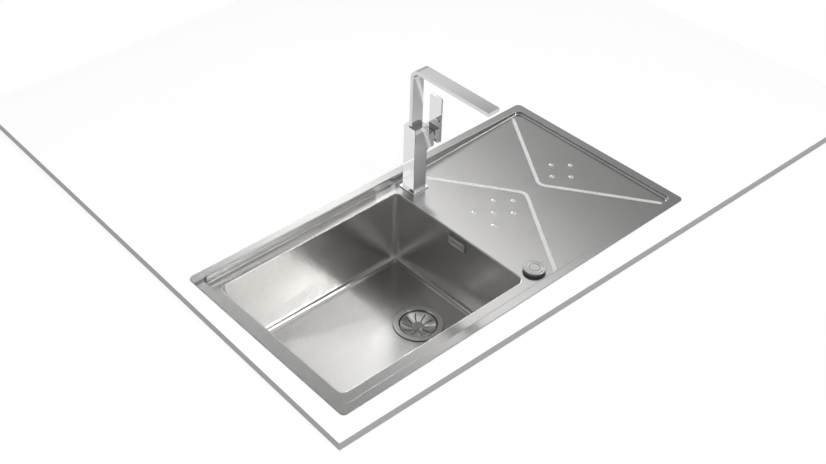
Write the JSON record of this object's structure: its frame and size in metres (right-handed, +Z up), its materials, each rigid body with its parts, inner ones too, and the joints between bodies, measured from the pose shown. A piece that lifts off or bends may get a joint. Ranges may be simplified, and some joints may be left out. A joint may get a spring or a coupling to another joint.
{
  "type": "inset kitchen sink with drainboard and tap",
  "caption": "Inset stainless kitchen sink with a square bowl, a sloping drainboard, a pop-up waste with overflow and knob, and a square lever mixer tap with a swivelling flat spout.",
  "frame": {"origin": "centre of the rim's outline, on the worktop's top face, which is the underside of the rim's lip", "axes": "+X along the worktop from the bowl to the drainboard, +Y from the user to the wall, +Z up"},
  "size_m": [1, 0.51, 0.632],
  "materials": {
    "steel_satin": "fine satin finish, light brushed grain",
    "steel_bright": "polished stainless steel",
    "tap_chrome": "polished chrome on brass",
    "brass": "machined brass",
    "zinc": "zinc-plated sheet steel",
    "screw_steel": "zinc-plated screws",
    "black_rubber": "matt black rubber",
    "grey_foam": "closed-cell foam strip",
    "damping": "bituminous damping sheet",
    "white_plastic": "moulded white plastic",
    "grey_plastic": "moulded dark grey plastic",
    "acetal": "smooth white acetal"
  },
  "bodies": {
    "sink": {"sink_deck": "steel_satin", "bowl": "steel_satin", "rim_seal": "grey_foam", "clip_brackets": "zinc", "clip_claws": "zinc", "clip_screws": "screw_steel", "sound_pads": "damping", "flange_seal": "black_rubber", "waste_flange": "steel_bright", "waste_seal": "black_rubber", "waste_body": "white_plastic", "lifter_cover": "white_plastic", "overflow_plate": "steel_bright", "overflow_seal": "black_rubber", "overflow_elbow": "white_plastic", "overflow_pipe": "white_plastic", "overflow_nut_top": "white_plastic", "overflow_nut_low": "white_plastic", "knob_base": "grey_plastic", "knob_seal": "black_rubber", "knob_nut": "grey_plastic", "cable_housing": "grey_plastic", "tap_base_plate": "tap_chrome", "tap_gasket": "black_rubber", "tap_column": "tap_chrome", "tap_shank": "brass", "shank_seal": "black_rubber", "shank_washer": "zinc", "shank_nut": "brass", "spout_lock_screw": "screw_steel", "cartridge": "acetal", "cartridge_nut": "brass"},
    "spout_body": {"spout": "tap_chrome", "spout_seals": "black_rubber", "aerator": "grey_plastic"},
    "mixer_core": {"mixer_carrier": "acetal", "lever_pin": "screw_steel"},
    "lever_body": {"lever": "tap_chrome", "lever_stem": "screw_steel", "lever_screw": "screw_steel", "lever_screw_cap": "grey_plastic"},
    "knob_body": {"knob": "steel_satin", "knob_spindle": "acetal", "cable_drum": "acetal"},
    "strainer_body": {"strainer": "steel_bright", "strainer_cap": "steel_bright", "strainer_seal": "black_rubber", "strainer_stem": "acetal"},
    "lifter_body": {"lifter_shaft": "screw_steel", "lifter_drum": "acetal"}
  },
  "joints": [
    {"name": "spout_swivel", "type": "hinge", "parent": "sink", "child": "spout_body", "pos_m": [0.092, 0.195, 0.156], "axis": [0, 0, 1], "range_deg": [-90, 90]},
    {"name": "temperature_turn", "type": "hinge", "parent": "sink", "child": "mixer_core", "pos_m": [0.126, 0.195, 0.109], "axis": [1, 0, 0], "range_deg": [-45, 45]},
    {"name": "flow_tilt", "type": "hinge", "parent": "mixer_core", "child": "lever_body", "pos_m": [0.126, 0.195, 0.109], "axis": [0, 1, 0], "range_deg": [0, 25]},
    {"name": "knob_turn", "type": "hinge", "parent": "sink", "child": "knob_body", "pos_m": [0.0875, -0.1885, -0.012], "axis": [0, 0, 1], "range_deg": [0, 90]},
    {"name": "strainer_lift", "type": "slide", "parent": "sink", "child": "strainer_body", "axis": [0, 0, 1], "range_m": [0, 0.009]},
    {"name": "lifter_turn", "type": "hinge", "parent": "sink", "child": "lifter_body", "pos_m": [-0.07362, 0.005, -0.2718], "axis": [0, -1, 0], "range_deg": [0, 44.1]}
  ],
  "couplings": [
    {"joint": "strainer_lift", "follows": "knob_turn", "m_per_rad": 0.005729},
    {"joint": "lifter_turn", "follows": "knob_turn", "ratio": 0.48943}
  ]
}
